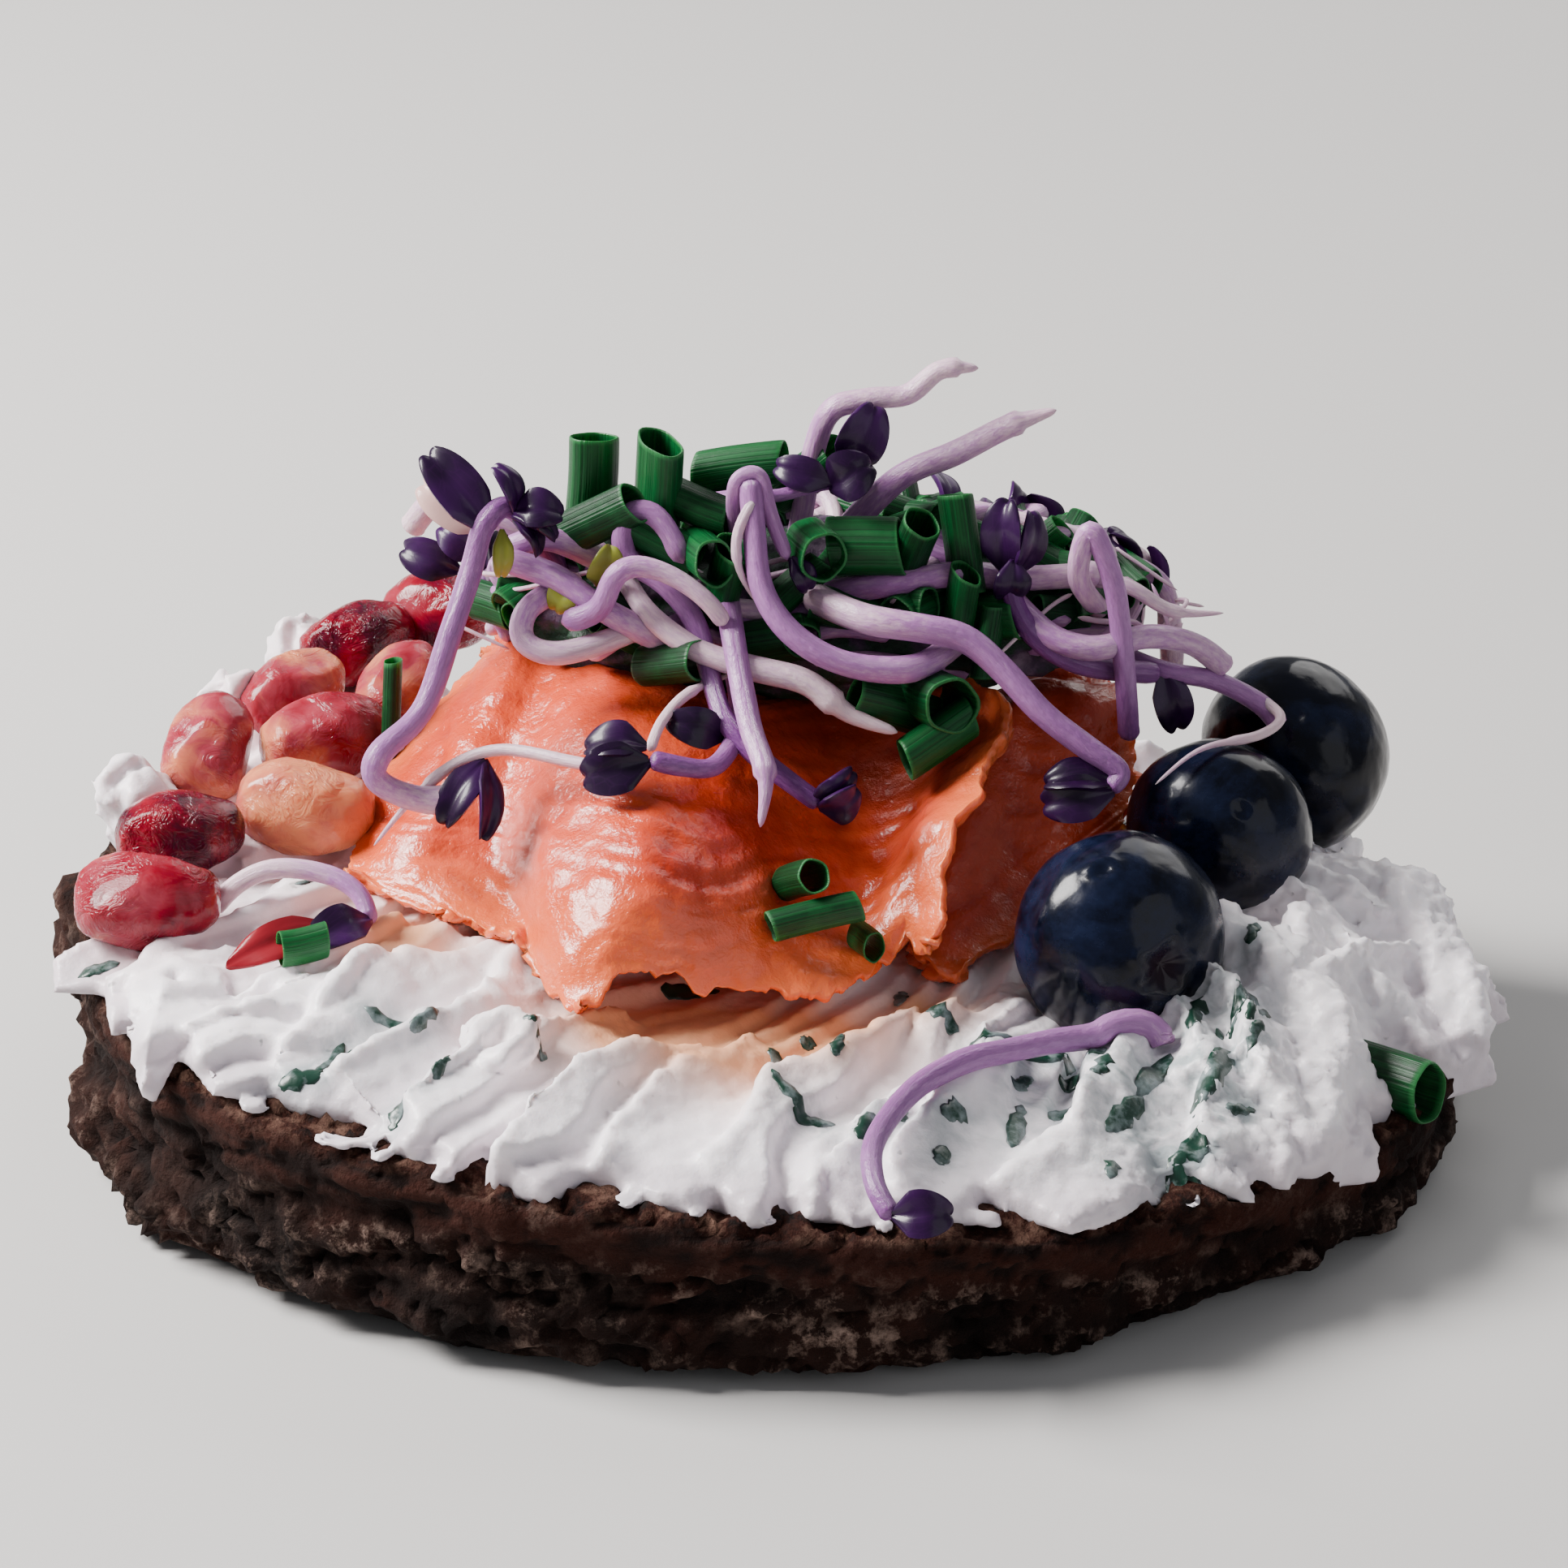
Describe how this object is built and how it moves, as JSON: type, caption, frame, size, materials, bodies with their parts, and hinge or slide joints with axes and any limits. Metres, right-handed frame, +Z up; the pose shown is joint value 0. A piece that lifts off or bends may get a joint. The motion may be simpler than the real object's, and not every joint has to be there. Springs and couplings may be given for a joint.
{
  "type": "open sandwich",
  "caption": "Open sandwich on a slice of dark bread with herb cream cheese, folded smoked salmon, pomegranate seeds, blueberries, radish sprouts and chives.",
  "frame": {"origin": "centre of the bounding box's bottom face, on the flat underside of the bread", "axes": "+Z up out of the toppings, +X along the slice's length towards the blueberries, -Y towards the front edge with the arched fold of salmon"},
  "size_m": [0.1066, 0.0941, 0.055],
  "materials": {
    "crust": "matte",
    "cream": "satin",
    "salmon": "satin",
    "berry": "satin",
    "aril": "gloss",
    "stem": "satin"
  },
  "bodies": {
    "root": {"bread": "crust", "cream_cheese": "cream", "salmon_large": "salmon", "salmon_small": "salmon", "blueberry_front": "berry", "blueberry_middle": "berry", "blueberry_back": "berry", "pomegranate_1": "aril", "pomegranate_2": "aril", "pomegranate_3": "aril", "pomegranate_4": "aril", "pomegranate_5": "aril", "pomegranate_6": "aril", "pomegranate_7": "aril", "pomegranate_8": "aril", "pomegranate_9": "aril", "sprout_and_chive_heap": "stem"}
  },
  "joints": []
}
